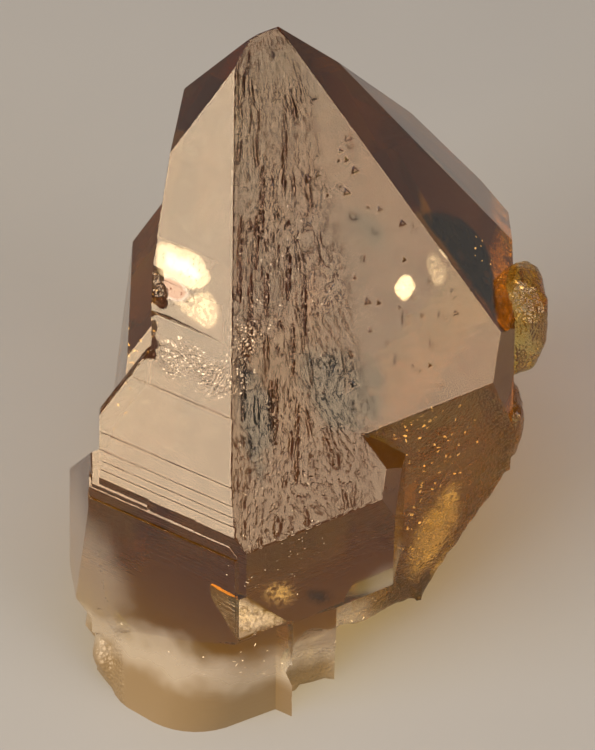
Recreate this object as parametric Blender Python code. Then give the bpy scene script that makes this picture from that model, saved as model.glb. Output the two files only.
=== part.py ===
"""A smoky yellow citrine crystal, grown as several parallel individuals and broken off at its foot.

The long axis of the quartz stands upright. Every flat face is given as a crystallographer would
give it: the compass direction it faces, its slope, and its distance from the tip of the crystal.
Azimuth 0 faces the viewer (-Y) and +90 faces right (+X). All individuals share one orientation,
as parallel-grown quartz does, so their like faces are parallel and join into one body.
"""

import math
import random

import bmesh
import bpy
from mathutils import Matrix, Vector, noise

MM = 0.001

# The whole crystal, in millimetres
TIP_HEIGHT = 53.0
BLOCK_SIZE = 160.0

# The six directions that quartz faces look, in degrees, and the slope of its rhombohedra
FRONT_RIGHT = 30
FRONT_LEFT = -30
LEFT = -90
RIGHT = 90
BACK_LEFT = -150
BACK_RIGHT = 150
RHOMB_SLOPE = 38.2

# Distances from the tip of the pointed faces and the walls of the largest individual
SPIRE_RHOMBS = {
    FRONT_RIGHT: 0.0,
    FRONT_LEFT: 2.5,
    LEFT: 1.6,
    BACK_LEFT: 0.1,
    BACK_RIGHT: 0.3,
    RIGHT: 0.25,
}
SPIRE_WALLS = {
    FRONT_LEFT: 25.9,
    FRONT_RIGHT: 20.7,
    RIGHT: 20.0,
    LEFT: 9.7,
    BACK_RIGHT: 18.6,
    BACK_LEFT: 3.8,
}

# The smaller individuals lie at least this far inside the spire where both have the same face,
# and each a little further in than the one before
JOIN_DEPTH = 0.4
JOIN_SPACING = 0.13

# The foot: individuals are drawn out below the cut and cut off level there
BELOW_THE_CUT = 57.0
FOOT_RIGHT_EDGE = 5.7
NOTCH_ROOF = 49.2
LEDGE_DEPTH = 7.2
LEDGE_WALL = 23.6
LEDGE_LIP = 36.5
FOOT_ROUNDING = 6.0

# Growth steps low on the front left face: where each riser stands, and its height
GROWTH_RISERS = [20.6, 23.8, 24.6, 25.07, 25.45]
GROWTH_STEP = 0.06

# Relief
BROKEN_GRID = 2.2
GROOVE_COUNT = 13
GROOVE_SPACING = 0.47
HILLOCK_COUNT = 14
PIT_COUNT = 10
SEED = 17

# Corners closer than this, in millimetres, are made one after the joining
MERGE_DISTANCE = 0.004


def facing(azimuth, slope):
    """The outward direction of a face from its compass direction and its slope in degrees."""
    a = math.radians(azimuth)
    s = math.radians(slope)
    return Vector((math.sin(a) * math.cos(s), -math.cos(a) * math.cos(s), math.sin(s)))


def rhomb(azimuth, distance):
    """A sloping face of the point."""
    return azimuth, RHOMB_SLOPE, distance


def wall(azimuth, distance):
    """An upright face."""
    return azimuth, 0, distance


def floor(depth):
    """A level underside, this far below the tip."""
    return 0, -90, depth


def roof(depth):
    """A level top, this far below the tip."""
    return 0, 90, -depth


def behind(face):
    """The same plane facing the other way, for a cutter that starts at it."""
    azimuth, slope, distance = face
    return azimuth + 180, -slope, -distance


def all_of(bm):
    return bm.verts[:] + bm.edges[:] + bm.faces[:]


def cleave(bm, face):
    """Cuts away what lies beyond one face and closes the cut flat."""
    azimuth, slope, distance = face
    normal = facing(azimuth, slope)
    cut = bmesh.ops.bisect_plane(
        bm, geom=all_of(bm), plane_co=normal * distance, plane_no=normal, clear_outer=True
    )
    rim = [item for item in cut["geom_cut"] if isinstance(item, bmesh.types.BMEdge)]
    bmesh.ops.holes_fill(bm, edges=rim)


def on_plane(bm, normal, distance):
    """The faces that lie in a plane."""
    return [
        face
        for face in bm.faces
        if all(abs(vert.co.dot(normal) - distance) < 0.02 for vert in face.verts)
    ]


def grid_cut(bm, normal, distance, spacing):
    """Divides one flat face into a grid of squares, so that it can carry relief."""
    across = normal.orthogonal().normalized()
    for axis in (across, normal.cross(across)):
        steps = int(BLOCK_SIZE / 2 / spacing)
        for step in range(-steps, steps):
            faces = on_plane(bm, normal, distance)
            edges = list({edge for face in faces for edge in face.edges})
            verts = list({vert for face in faces for vert in face.verts})
            place = axis * (step + 0.5) * spacing
            spread = [vert.co.dot(axis) for vert in verts]
            if not min(spread) < place.dot(axis) < max(spread):
                continue
            bmesh.ops.bisect_plane(bm, geom=verts + edges + faces, plane_co=place, plane_no=axis)


def break_face(bm, face, height, stretch=1.0):
    """Turns one flat face into a broken or stepped surface. Its outline stays sharp."""
    azimuth, slope, distance = face
    normal = facing(azimuth, slope)
    grid_cut(bm, normal, distance, BROKEN_GRID)
    faces = on_plane(bm, normal, distance)
    inside = [
        vert
        for vert in {vert for face in faces for vert in face.verts}
        if all(face in faces for face in vert.link_faces)
    ]
    for vert in inside:
        place = vert.co.copy()
        place.z *= stretch
        lift = noise.noise(place * 0.31) + 0.6 * noise.noise(place * 0.83 + Vector((7, 3, 1)))
        vert.co += normal * (lift * height - height * 0.6)
    bmesh.ops.triangulate(bm, faces=[face for face in faces if face.is_valid])


def finish(bm, name):
    """The finished piece as an object."""
    bmesh.ops.recalc_face_normals(bm, faces=bm.faces[:])
    mesh = bpy.data.meshes.new(name)
    bm.to_mesh(mesh)
    bm.free()
    return bpy.data.objects.new(name, mesh)


def cleaved_block(faces):
    """A block bounded by the given faces, as an open bmesh."""
    bm = bmesh.new()
    bmesh.ops.create_cube(bm, size=BLOCK_SIZE)
    for face in faces:
        cleave(bm, face)
    return bm


def individual(name, faces, broken=(), order=0):
    """One crystal individual: a block cleaved by its faces, then broken where it was broken.

    A rhombohedron face that the list leaves out lies just inside that of the spire.
    """
    inset = JOIN_DEPTH + JOIN_SPACING * order
    bm = cleaved_block(faces)
    given = {azimuth for azimuth, slope, distance in faces if slope == RHOMB_SLOPE}
    for azimuth, distance in SPIRE_RHOMBS.items():
        if azimuth not in given:
            cleave(bm, rhomb(azimuth, distance - inset))
    for face, height, stretch in broken:
        break_face(bm, face, height, stretch)
    return finish(bm, name)


def lump(name, centre, size, seed, roughness=0.12, cuts=5, roundness=0.62):
    """A rounded, broken lump: a cube drawn out towards a ball and roughened."""
    bm = bmesh.new()
    bmesh.ops.create_cube(bm, size=2.0)
    bmesh.ops.subdivide_edges(bm, edges=bm.edges[:], cuts=cuts, use_grid_fill=True)
    for vert in bm.verts:
        ball = vert.co.normalized() * 1.15
        vert.co = vert.co.lerp(ball, roundness)
        lift = noise.noise(vert.co * 1.7 + Vector((seed, seed * 2, 0)))
        vert.co *= 1 + lift * roughness * 2
        vert.co = Vector(centre) + Vector([c * s / 2 for c, s in zip(vert.co, size)])
    return finish(bm, name)


def spire():
    """The largest individual: the pointed body with the two bright front faces."""
    etched_wall = wall(FRONT_RIGHT, SPIRE_WALLS[FRONT_RIGHT])
    right_break = (85, -30, 37.0)
    faces = [
        *[rhomb(azimuth, distance) for azimuth, distance in SPIRE_RHOMBS.items()],
        *[wall(azimuth, distance) for azimuth, distance in SPIRE_WALLS.items()],
        (-140, 34, 0.3),
        (112, 35.5, 1.25),
        (150, 25, 5.6),
        (67, 12, 16.0),
        (-98, 4.3, 6.75),
        right_break,
        floor(BELOW_THE_CUT),
    ]
    return individual("spire", faces, [(etched_wall, 0.45, 3.0), (right_break, 0.7, 1.0)])


def left_shoulder():
    """The lower left individual, whose bright face continues that of the spire."""
    faces = [
        rhomb(FRONT_LEFT, 2.47),
        rhomb(LEFT, -4.8),
        wall(LEFT, 13.85),
        wall(FRONT_LEFT, 25.84),
        wall(FRONT_RIGHT, 18.0),
        wall(RIGHT, 2.6),
        wall(BACK_RIGHT, 4.0),
        wall(BACK_LEFT, -8.5),
        floor(BELOW_THE_CUT - 1.0),
    ]
    return individual("left_shoulder", faces, order=1)


def left_back():
    """The individual behind the left edge, with a low brown shoulder of its own."""
    rough_back = (BACK_LEFT, -25, 25.6)
    faces = [
        rhomb(LEFT, -5.6),
        rhomb(FRONT_LEFT, -1.2),
        (-90, 6.3, 9.05),
        wall(LEFT, 13.7),
        wall(FRONT_LEFT, 22.0),
        wall(RIGHT, 2.0),
        wall(BACK_LEFT, 6.2),
        rough_back,
        floor(BELOW_THE_CUT - 1.2),
    ]
    return individual("left_back", faces, [(rough_back, 0.5, 1.0)], order=2)


def left_lobe():
    """The rounded, scuffed individual low on the left."""
    faces = [
        rhomb(LEFT, -6.0),
        rhomb(BACK_LEFT, -25.4),
        (-60, 24, 9.0),
        (-80, 5.7, 14.9),
        wall(LEFT, 16.8),
        wall(FRONT_LEFT, 25.95),
        wall(-58, 24.6),
        wall(BACK_LEFT, 0.0),
        wall(RIGHT, -9.9),
        (-80, -35, 41.8),
        floor(50.5),
    ]
    return individual("left_lobe", faces, order=3)


def front_prism(name, outward, top, order):
    """A strip of the clear brown left wall, from a growth step down to the foot."""
    faces = [
        wall(FRONT_LEFT, SPIRE_WALLS[FRONT_LEFT] + outward),
        wall(FRONT_RIGHT, LEDGE_WALL - outward),
        wall(LEFT, 14.6 + outward),
        roof(top),
        wall(RIGHT, FOOT_RIGHT_EDGE + outward),
        wall(BACK_LEFT, -9.0 + outward),
        (25, -60.5, 48.4 + outward),
        floor(52.0 - outward),
    ]
    return individual(name, faces, order=order)


def ledge_notch():
    """What broke out of the foot's front corner: the notch's floor is a small bright ledge."""
    faces = [
        (-46.4, 0, 21.4),
        behind(rhomb(FRONT_RIGHT, -LEDGE_DEPTH)),
        roof(LEDGE_LIP),
        wall(RIGHT, 12.0),
        wall(180, -15.0),
        floor(50.0),
    ]
    return finish(cleaved_block(faces), "ledge_notch")


def front_step():
    """The front individual: its top joins the big right face, and its foot is cut back."""
    faces = [
        rhomb(FRONT_RIGHT, 0.012),
        rhomb(FRONT_LEFT, 2.44),
        rhomb(RIGHT, -10.45),
        wall(FRONT_RIGHT, 24.15),
        wall(FRONT_LEFT, 25.93),
        (65, 15, 9.3),
        wall(80, 13.9),
        wall(RIGHT, 11.2),
        wall(LEFT, 6.0),
        wall(180, 5.1),
        (14, -60, 48.6),
        (-40, -35.5, 39.65),
        floor(41.5),
    ]
    return individual("front_step", faces, order=4)


def rounding(first, last, radius, steps):
    """The faces that round off the edge between two: all touch one ball in the corner, at the cut."""
    normals = [facing(azimuth, slope) for azimuth, slope, distance in (first, last)]
    depths = [face[2] - radius + normal.z * TIP_HEIGHT for face, normal in zip((first, last), normals)]
    level = Matrix([normal.xy for normal in normals]).inverted() @ Vector(depths)
    centre = Vector((*level, -TIP_HEIGHT))
    for step in range(1, steps):
        share = step / steps
        azimuth = first[0] + (last[0] - first[0]) * share
        slope = first[1] + (last[1] - first[1]) * share
        yield azimuth, slope, facing(azimuth, slope).dot(centre) + radius


def milky_foot():
    """The milky foot that the crystal stands on: smooth walls with well rounded upright edges."""
    left = wall(LEFT, 13.3)
    front = (-36, 16, 12.1)
    right = wall(27, 23.25)
    faces = [
        left,
        *rounding(left, front, 4.0, 5),
        front,
        *rounding(front, right, FOOT_ROUNDING, 8),
        right,
        wall(RIGHT, FOOT_RIGHT_EDGE - 0.1),
        wall(180, 3.0),
        roof(41.0),
        floor(BELOW_THE_CUT - 0.8),
    ]
    return finish(cleaved_block(faces), "milky_foot")


def stained_break():
    """The rougher, stained left side of the foot."""
    return lump("stained_break", (-11.3, -16.5, -50.5), (7.6, 12.0, 12.0), seed=9, roughness=0.2)


def right_knobs():
    """Two small rounded individuals on the right edge."""
    yield lump("right_knob", (20.7, -3.6, -28.3), (4.0, 7.0, 8.8), seed=3, cuts=4)
    yield lump("right_bead", (19.4, -9.9, -34.0), (3.0, 5.0, 5.8), seed=8, cuts=3)


def back_individuals():
    """Two parallel individuals behind, each broken back under its wall."""
    step_break = (BACK_RIGHT, -42, 42.5)
    step = [
        rhomb(BACK_RIGHT, -5.0),
        rhomb(RIGHT, -8.0),
        rhomb(BACK_LEFT, -4.0),
        wall(BACK_RIGHT, 20.0),
        wall(RIGHT, 15.5),
        wall(BACK_LEFT, 9.5),
        wall(LEFT, 2.05),
        wall(0, 2.1),
        step_break,
        floor(BELOW_THE_CUT - 1.4),
    ]
    shoulder_break = (BACK_LEFT, -48, 43.5)
    shoulder = [
        rhomb(BACK_LEFT, -11.5),
        rhomb(LEFT, -14.5),
        wall(BACK_LEFT, 14.0),
        wall(LEFT, 11.8),
        wall(BACK_RIGHT, 9.45),
        wall(RIGHT, 3.0),
        wall(0, 2.2),
        shoulder_break,
        floor(BELOW_THE_CUT - 1.6),
    ]
    yield individual("back_step", step, [(step_break, 0.6, 1.0)], order=7)
    yield individual("back_shoulder", shoulder, [(shoulder_break, 0.6, 1.0)], order=8)


def growth_steps():
    """What the growth steps leave out of the front left face: lower strips, each under a riser."""
    for count, riser in enumerate(GROWTH_RISERS):
        depth = SPIRE_RHOMBS[FRONT_LEFT] - GROWTH_STEP * (count + 1)
        faces = [
            behind(rhomb(FRONT_LEFT, depth)),
            behind(wall(FRONT_LEFT, riser)),
            roof(0.0),
            floor(50.3 + 0.1 * count),
        ]
        yield finish(cleaved_block(faces), f"growth_step_{count}")


def under_notch():
    """What broke away under the right front: a block with a rough roof."""
    rough_roof = roof(NOTCH_ROOF)
    faces = [
        behind(wall(RIGHT, FOOT_RIGHT_EDGE - 0.15)),
        rough_roof,
        behind(wall(0, 8.0)),
        wall(RIGHT, 30.0),
        wall(0, 40.0),
        floor(BELOW_THE_CUT + 3),
    ]
    bm = cleaved_block(faces)
    break_face(bm, rough_roof, 0.5)
    return finish(bm, "under_notch")


def chip(name, edge, bed, top, bottom):
    """A stepped break at the left edge of the front left face, between two risers.

    The bed is (azimuth, slope) and dips into the face to the left of the edge point. The risers
    are heights along the face's climbing line.
    """
    azimuth, slope = bed
    climb = (FRONT_LEFT + 180, 90 - RHOMB_SLOPE)
    faces = [
        behind((azimuth, slope, facing(azimuth, slope).dot(Vector(edge)))),
        (*climb, top),
        behind((*climb, bottom)),
        wall(LEFT, 11.4),
        wall(180, 0.0),
    ]
    return finish(cleaved_block(faces), name)


def left_breaks():
    """The broken places at the left edge of the front left face."""
    yield chip("upper_chip", (-5.2, -13.4, -14.0), (-41, 41.5), -18.9, -21.9)
    yield chip("lower_chip", (-4.0, -16.0, -16.1), (-38, 35.0), -22.05, -24.7)
    yield lump("edge_hollow", (-10.2, -13.4, -16.6), (3.4, 3.6, 3.0), seed=21, roughness=0.2, cuts=4)
    yield lump("edge_chip", (-10.6, -16.2, -19.3), (3.0, 3.4, 2.6), seed=32, roughness=0.2, cuts=4)


def foot_hollow():
    """The rough hollow at the right side of the foot."""
    return lump("foot_hollow", (6.3, -25.4, -49.5), (9.0, 6.0, 9.0), seed=6, roughness=0.15)


def face_frame(azimuth, slope, distance):
    """A frame on a face: x runs level, y runs up the face and z points out of it."""
    out = facing(azimuth, slope)
    level = Vector((0, 0, 1)).cross(out).normalized()
    up = out.cross(level)
    frame = Matrix((level, up, out)).transposed().to_4x4()
    frame.translation = out * distance
    return frame


def front_edge_direction():
    """The line where the two front faces meet, which the etch grooves follow downwards."""
    along = facing(FRONT_RIGHT, RHOMB_SLOPE).cross(facing(FRONT_LEFT, RHOMB_SLOPE)).normalized()
    return along if along.z < 0 else -along


def spindle(name, start, end, width, depth_ratio, normal):
    """A slim lens-shaped groove between two points of a face."""
    along = (end - start).normalized()
    side = normal.cross(along).normalized()
    length = (end - start).length
    bm = bmesh.new()
    bmesh.ops.create_uvsphere(bm, u_segments=6, v_segments=4, radius=0.5)
    frame = Matrix((side * width, normal * width * depth_ratio, along * length)).transposed().to_4x4()
    frame.translation = (start + end) / 2
    bmesh.ops.transform(bm, matrix=frame, verts=bm.verts[:])
    return finish(bm, name)


def etch_grooves(rng):
    """Long grooves down the big right face, beside the edge between the two front faces."""
    normal = facing(FRONT_RIGHT, RHOMB_SLOPE)
    down = front_edge_direction()
    side = normal.cross(down).normalized()
    edge_top = Vector((-3.05, -3.0, -1.35))
    for count in range(GROOVE_COUNT):
        across = 0.5 + GROOVE_SPACING * count
        reach = rng.uniform(3.5, 27.0)
        length = rng.uniform(3.0, 7.5)
        start = edge_top + side * across + down * reach
        start -= normal * start.dot(normal)
        width = rng.uniform(0.24, 0.4)
        yield spindle(f"etch_groove_{count}", start, start + down * length, width, 0.9, normal)


def on_smooth_part(rng, height):
    """A place on the smooth right part of the big right face, which widens downwards."""
    down = rng.uniform(10.0, 31.0)
    return Vector((rng.uniform(-0.1, 0.3) * down, -down, height))


def growth_hillocks(rng):
    """Low three-sided hillocks on the smooth part of the big right face."""
    frame = face_frame(FRONT_RIGHT, RHOMB_SLOPE, 0.0)
    for count in range(HILLOCK_COUNT):
        bm = bmesh.new()
        size = rng.uniform(0.5, 1.1)
        bmesh.ops.create_cone(
            bm, cap_ends=True, segments=3, radius1=size, radius2=size * 0.15, depth=0.3
        )
        place = Matrix.Translation(on_smooth_part(rng, -0.06))
        bmesh.ops.transform(bm, matrix=frame @ place, verts=bm.verts[:])
        yield finish(bm, f"growth_hillock_{count}")


def face_pits(rng):
    """Small three-sided pits on the big right face."""
    frame = face_frame(FRONT_RIGHT, RHOMB_SLOPE, 0.0)
    for count in range(PIT_COUNT):
        bm = bmesh.new()
        size = rng.uniform(0.25, 0.5)
        bmesh.ops.create_cone(bm, cap_ends=True, segments=3, radius1=0.1, radius2=size, depth=0.5)
        place = Matrix.Translation(on_smooth_part(rng, 0.0))
        bmesh.ops.transform(bm, matrix=frame @ place, verts=bm.verts[:])
        yield finish(bm, f"face_pit_{count}")


def citrine():
    """Clear smoky yellow quartz."""
    material = bpy.data.materials.new("citrine")
    material.use_nodes = True
    shader = material.node_tree.nodes["Principled BSDF"]
    shader.inputs["Base Color"].default_value = (0.62, 0.42, 0.2, 1.0)
    shader.inputs["Roughness"].default_value = 0.12
    shader.inputs["Metallic"].default_value = 0.0
    return material


def collect(name, pieces, hidden=False):
    collection = bpy.data.collections.new(name)
    bpy.context.scene.collection.children.link(collection)
    for piece in pieces:
        collection.objects.link(piece)
        piece.hide_render = hidden
        if hidden:
            piece.display_type = "WIRE"
    return collection


def combine(body, pieces, operation):
    """Joins pieces to the body, or cuts them out of it, one after the other."""
    for piece in pieces:
        modifier = body.modifiers.new(operation.lower(), "BOOLEAN")
        modifier.operation = operation
        modifier.object = piece
        modifier.solver = "EXACT"
        bpy.context.view_layer.update()
        graph = bpy.context.evaluated_depsgraph_get()
        joined = bpy.data.meshes.new_from_object(body.evaluated_get(graph))
        body.modifiers.remove(modifier)
        body.data = joined


def cut_off_level(body):
    """Cuts the foot off flat at the height of the crystal and clears the joining's tiny edges."""
    bm = bmesh.new()
    bm.from_mesh(body.data)
    cleave(bm, floor(TIP_HEIGHT))
    bmesh.ops.remove_doubles(bm, verts=bm.verts[:], dist=MERGE_DISTANCE)
    bmesh.ops.dissolve_degenerate(bm, edges=bm.edges[:], dist=MERGE_DISTANCE)
    bm.to_mesh(body.data)
    bm.free()


def set_on_origin(body):
    """Puts the middle of the footprint's box at the origin and the foot at zero, in metres."""
    corners = [Vector(corner) for corner in body.bound_box]
    low = Vector([min(corner[i] for corner in corners) for i in range(3)])
    high = Vector([max(corner[i] for corner in corners) for i in range(3)])
    middle = (low + high) / 2
    body.data.transform(Matrix.Translation((-middle.x, -middle.y, -low.z)))
    body.data.transform(Matrix.Scale(MM, 4))


def build():
    for old in list(bpy.data.objects):
        bpy.data.objects.remove(old)
    rng = random.Random(SEED)
    body = spire()
    body.name = "crystal"
    collect("citrine_crystal", [body])
    upper = front_prism("front_prism_upper", 0.1, 30.1, order=5)
    lower = front_prism("front_prism_lower", 0.2, 31.9, order=6)
    notch = ledge_notch()
    grown = [left_shoulder(), left_back(), left_lobe(), upper, lower, milky_foot(), front_step()]
    grown += [stained_break(), *right_knobs(), *back_individuals(), *growth_hillocks(rng)]
    hollows = [*growth_steps(), under_notch(), foot_hollow(), *left_breaks()]
    hollows += [*etch_grooves(rng), *face_pits(rng)]
    collect("parallel_individuals", grown, hidden=True)
    collect("hollows", [notch, *hollows], hidden=True)
    combine(upper, [notch], "DIFFERENCE")
    combine(lower, [notch], "DIFFERENCE")
    combine(body, grown, "UNION")
    combine(body, hollows, "DIFFERENCE")
    cut_off_level(body)
    set_on_origin(body)
    body.data.materials.clear()
    body.data.materials.append(citrine())


build()
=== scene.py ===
# Citrine crystal on a pale floor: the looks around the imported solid.
import math
from functools import partial

import bmesh
import bpy
import numpy as np
from mathutils import Matrix, Vector, noise
from mathutils.geometry import delaunay_2d_cdt


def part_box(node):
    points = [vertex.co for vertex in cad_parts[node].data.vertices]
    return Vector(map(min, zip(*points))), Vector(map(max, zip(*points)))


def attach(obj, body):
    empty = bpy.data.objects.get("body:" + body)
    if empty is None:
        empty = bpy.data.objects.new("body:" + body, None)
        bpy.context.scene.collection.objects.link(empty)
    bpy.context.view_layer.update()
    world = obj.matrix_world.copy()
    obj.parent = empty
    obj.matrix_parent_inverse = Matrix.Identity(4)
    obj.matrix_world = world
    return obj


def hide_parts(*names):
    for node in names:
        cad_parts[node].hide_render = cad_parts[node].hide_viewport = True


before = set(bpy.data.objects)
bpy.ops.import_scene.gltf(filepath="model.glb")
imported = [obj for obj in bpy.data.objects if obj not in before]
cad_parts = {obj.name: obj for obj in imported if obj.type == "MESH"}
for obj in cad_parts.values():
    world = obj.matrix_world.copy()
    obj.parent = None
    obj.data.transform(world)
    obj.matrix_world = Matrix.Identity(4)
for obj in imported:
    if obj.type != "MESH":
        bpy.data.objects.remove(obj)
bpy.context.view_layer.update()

mm = 0.001


def linear(hexColour):
    # an sRGB hex colour as the linear colour that shaders take
    parts = [int(hexColour[i:i + 2], 16) / 255 for i in (1, 3, 5)]
    return tuple(c / 12.92 if c < 0.04045 else ((c + 0.055) / 1.055) ** 2.4 for c in parts)


def facing(azimuth, slope):
    # outward direction of a face: azimuth 0 looks at the viewer (-Y), +90 to the right (+X)
    a, s = math.radians(azimuth), math.radians(slope)
    return Vector((math.sin(a) * math.cos(s), -math.cos(a) * math.cos(s), math.sin(s)))


def firstOutput(node):
    return next(s for s in node.outputs if s.enabled)


def addNode(tree, kind, *values, **settings):
    # a node with its settings; the values fill its inputs in order: a node gives its first output,
    # and None leaves an input as it is
    node = tree.nodes.new(kind)
    for name, value in settings.items():
        setattr(node, name, value)
    for socket, value in zip([s for s in node.inputs if s.enabled], values):
        if value is None:
            continue
        if isinstance(value, bpy.types.Node):
            value = firstOutput(value)
        if isinstance(value, bpy.types.NodeSocket):
            tree.links.new(value, socket)
        else:
            socket.default_value = value
    return node


# makes a MapRange node follow an S curve between its two ends
smooth = {"interpolation_type": "SMOOTHSTEP"}


def startTree(name, values):
    # an empty geometry tree that takes a mesh and these values
    tree = bpy.data.node_groups.new(name, "GeometryNodeTree")
    side = tree.interface
    side.new_socket("Geometry", in_out="INPUT", socket_type="NodeSocketGeometry")
    side.new_socket("Geometry", in_out="OUTPUT", socket_type="NodeSocketGeometry")
    for key, value in values.items():
        kind = "NodeSocketInt" if isinstance(value, int) else "NodeSocketFloat"
        side.new_socket(key, in_out="INPUT", socket_type=kind).default_value = value
    return tree, tree.nodes.new("NodeGroupInput").outputs


def finishTree(tree, geometry, material):
    realized = addNode(tree, "GeometryNodeRealizeInstances", geometry)
    finished = addNode(tree, "GeometryNodeSetMaterial", realized, True, material)
    tree.links.new(finished.outputs[0], tree.nodes.new("NodeGroupOutput").inputs[0])


# The camera: where the photograph was taken from, worked out from the crystal's known angles
photo = {
    "size": (595, 750),                     # pixels
    "tip": (275, 29),                       # the pixel where the crystal's tip lies
    "tipFromCorner": (16.8, 28.914, 53.0),  # mm, the tip from the solid's lowest corner
    "mmPerPixel": 0.08,                     # at the tip
    "distance": 400,                        # mm from the camera to the tip
    "elevation": 45.0,                      # degrees above the level
    "roll": 0.7,                            # degrees
}
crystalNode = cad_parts["crystal"]
crystalTip = Vector(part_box("crystal")[0]) + Vector(photo["tipFromCorner"]) * mm


def makeCamera():
    e, r = math.radians(photo["elevation"]), math.radians(photo["roll"])
    back = Vector((0, -math.cos(e), math.sin(e)))
    side = Vector((1, 0, 0))
    up = back.cross(side)
    right = math.cos(r) * side + math.sin(r) * up
    top = -math.sin(r) * side + math.cos(r) * up
    width, height = photo["size"]
    perPixel = photo["mmPerPixel"] * mm
    x = (photo["tip"][0] - width / 2) * perPixel
    y = (height / 2 - photo["tip"][1]) * perPixel
    data = bpy.data.cameras.new("photoCamera")
    data.lens = data.sensor_width * photo["distance"] / photo["mmPerPixel"] / height
    data.clip_start = 0.01
    camera = bpy.data.objects.new("photoCamera", data)
    bpy.context.scene.collection.objects.link(camera)
    turned = Matrix((right, top, back)).transposed().to_4x4()
    turned.translation = crystalTip - (x * right + y * top - photo["distance"] * mm * back)
    camera.matrix_world = turned
    bpy.context.scene.camera = camera
    return camera


camera = makeCamera()
print("camera at the photograph's angle")

# The studio: a pale floor, a soft dome of light and the panels that the bright faces mirror
studio = {
    "floorColour": "#92969B",
    "floorSize": 3.0,          # m
    "domeColour": "#E9ECF0",
    "domeStrength": 0.17,
    "paperGrain": 40.0,        # of the paper's mottle, to the metre
    "paperDarkest": 0.97,      # of the floor's colour, where the mottle is darkest
    "paperRoughness": 0.8,
    "panelDistance": 0.55,     # m from the crystal
    "panelAim": 0.6,           # the panels face this share of the tip's height
    # name: azimuth, elevation, side of the panel in m, watts, colour
    "panels": {
        "leftPanel": (-56, 26, 0.42, 6.3, "#FFE2BC"),
        "rightPanel": (53, 25.5, 0.38, 2.9, "#FFDFB8"),
        "topPanel": (10, 78, 0.45, 1.3, "#F4F7FF"),
    },
}


def paperMaterial():
    # matt studio paper: pale and even, with a hardly visible mottle
    material = bpy.data.materials.new("mattStudioPaper")
    material.use_nodes = True
    tree = material.node_tree
    shader = tree.nodes["Principled BSDF"]
    place = addNode(tree, "ShaderNodeTexCoord").outputs["Object"]
    mottle = addNode(tree, "ShaderNodeTexNoise", place, studio["paperGrain"])
    tone = addNode(tree, "ShaderNodeMapRange", mottle, 0.3, 0.7, studio["paperDarkest"], 1.0)
    paper = addNode(tree, "ShaderNodeMix", 1.0, (*linear(studio["floorColour"]), 1), tone,
                    data_type="RGBA", blend_type="MULTIPLY")
    tree.links.new(firstOutput(paper), shader.inputs["Base Color"])
    shader.inputs["Roughness"].default_value = studio["paperRoughness"]
    return material


def makeStudio():
    scene = bpy.context.scene
    bm = bmesh.new()
    bmesh.ops.create_grid(bm, x_segments=1, y_segments=1, size=studio["floorSize"] / 2)
    mesh = bpy.data.meshes.new("studioFloor")
    bm.to_mesh(mesh)
    bm.free()
    floor = bpy.data.objects.new("studioFloor", mesh)
    scene.collection.objects.link(floor)
    floor.data.materials.append(paperMaterial())
    world = bpy.data.worlds.new("softDome")
    world.use_nodes = True
    dome = world.node_tree.nodes["Background"]
    dome.inputs["Color"].default_value = (*linear(studio["domeColour"]), 1)
    dome.inputs["Strength"].default_value = studio["domeStrength"]
    scene.world = world
    scene.view_settings.view_transform = "Standard"
    centre = Vector((0, 0, crystalTip.z * studio["panelAim"]))
    for name, (azimuth, elevation, side, watts, colour) in studio["panels"].items():
        light = bpy.data.lights.new(name, "AREA")
        light.shape = "SQUARE"
        light.size = side
        light.energy = watts
        light.color = linear(colour)
        panel = bpy.data.objects.new(name, light)
        scene.collection.objects.link(panel)
        out = facing(azimuth, elevation)
        panel.location = centre + out * studio["panelDistance"]
        panel.rotation_euler = out.to_track_quat("Z", "Y").to_euler()


makeStudio()
print("studio made")

# The crystal's skin: the solid's flat faces get fine grids of triangles for their relief
skin = {
    "weld": 0.02,            # mm, the solid's triangles share points closer than this
    "sliver": 0.004,         # mm, shorter edges go
    "seam": 0.03,            # mm, the front step stands less than this proud of the right face
    "levelWithin": 0.25,     # degrees, faces that differ by less make one polygon
    "flatArea": 7.0,         # mm2, a polygon over this is a crystal face and not part of a break
    "faceWithin": 0.7,       # degrees, the direction of a relief face is known to this
    "edgeAngle": 14.0,       # degrees, an edge of a crystal face sharper than this stays sharp
    "baseGrid": 1.5,         # mm, on the cut base
    "breakGrid": 0.34,       # mm, on broken surfaces
    "restGrid": 0.46,        # mm, on the faces of the sides and back
    "clearOfEdge": 0.45,     # grid points keep this share of the spacing from a face's outline
}
rhombSlope = 38.2            # degrees, of the faces that meet at the tip of a quartz crystal

# the faces with a relief of their own: azimuth and slope in degrees, grid in mm
reliefFaces = {
    "rightFace": (30, rhombSlope, 0.15),
    "leftFace": (-30, rhombSlope, 0.17),
    "rightWall": (30, 0, 0.26),
    "leftWall": (-30, 0, 0.26),
    "rightBrownFace": (90, rhombSlope, 0.34),
}


def faceNormal(name):
    azimuth, slope, grid = reliefFaces[name]
    return facing(azimuth, slope)


def faceAxes(normal):
    # the level direction on a face and the one that climbs it
    level = Vector((0, 0, 1)).cross(normal)
    level = level.normalized() if level.length > 0.01 else Vector((1, 0, 0))
    return level, normal.cross(level)


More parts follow.
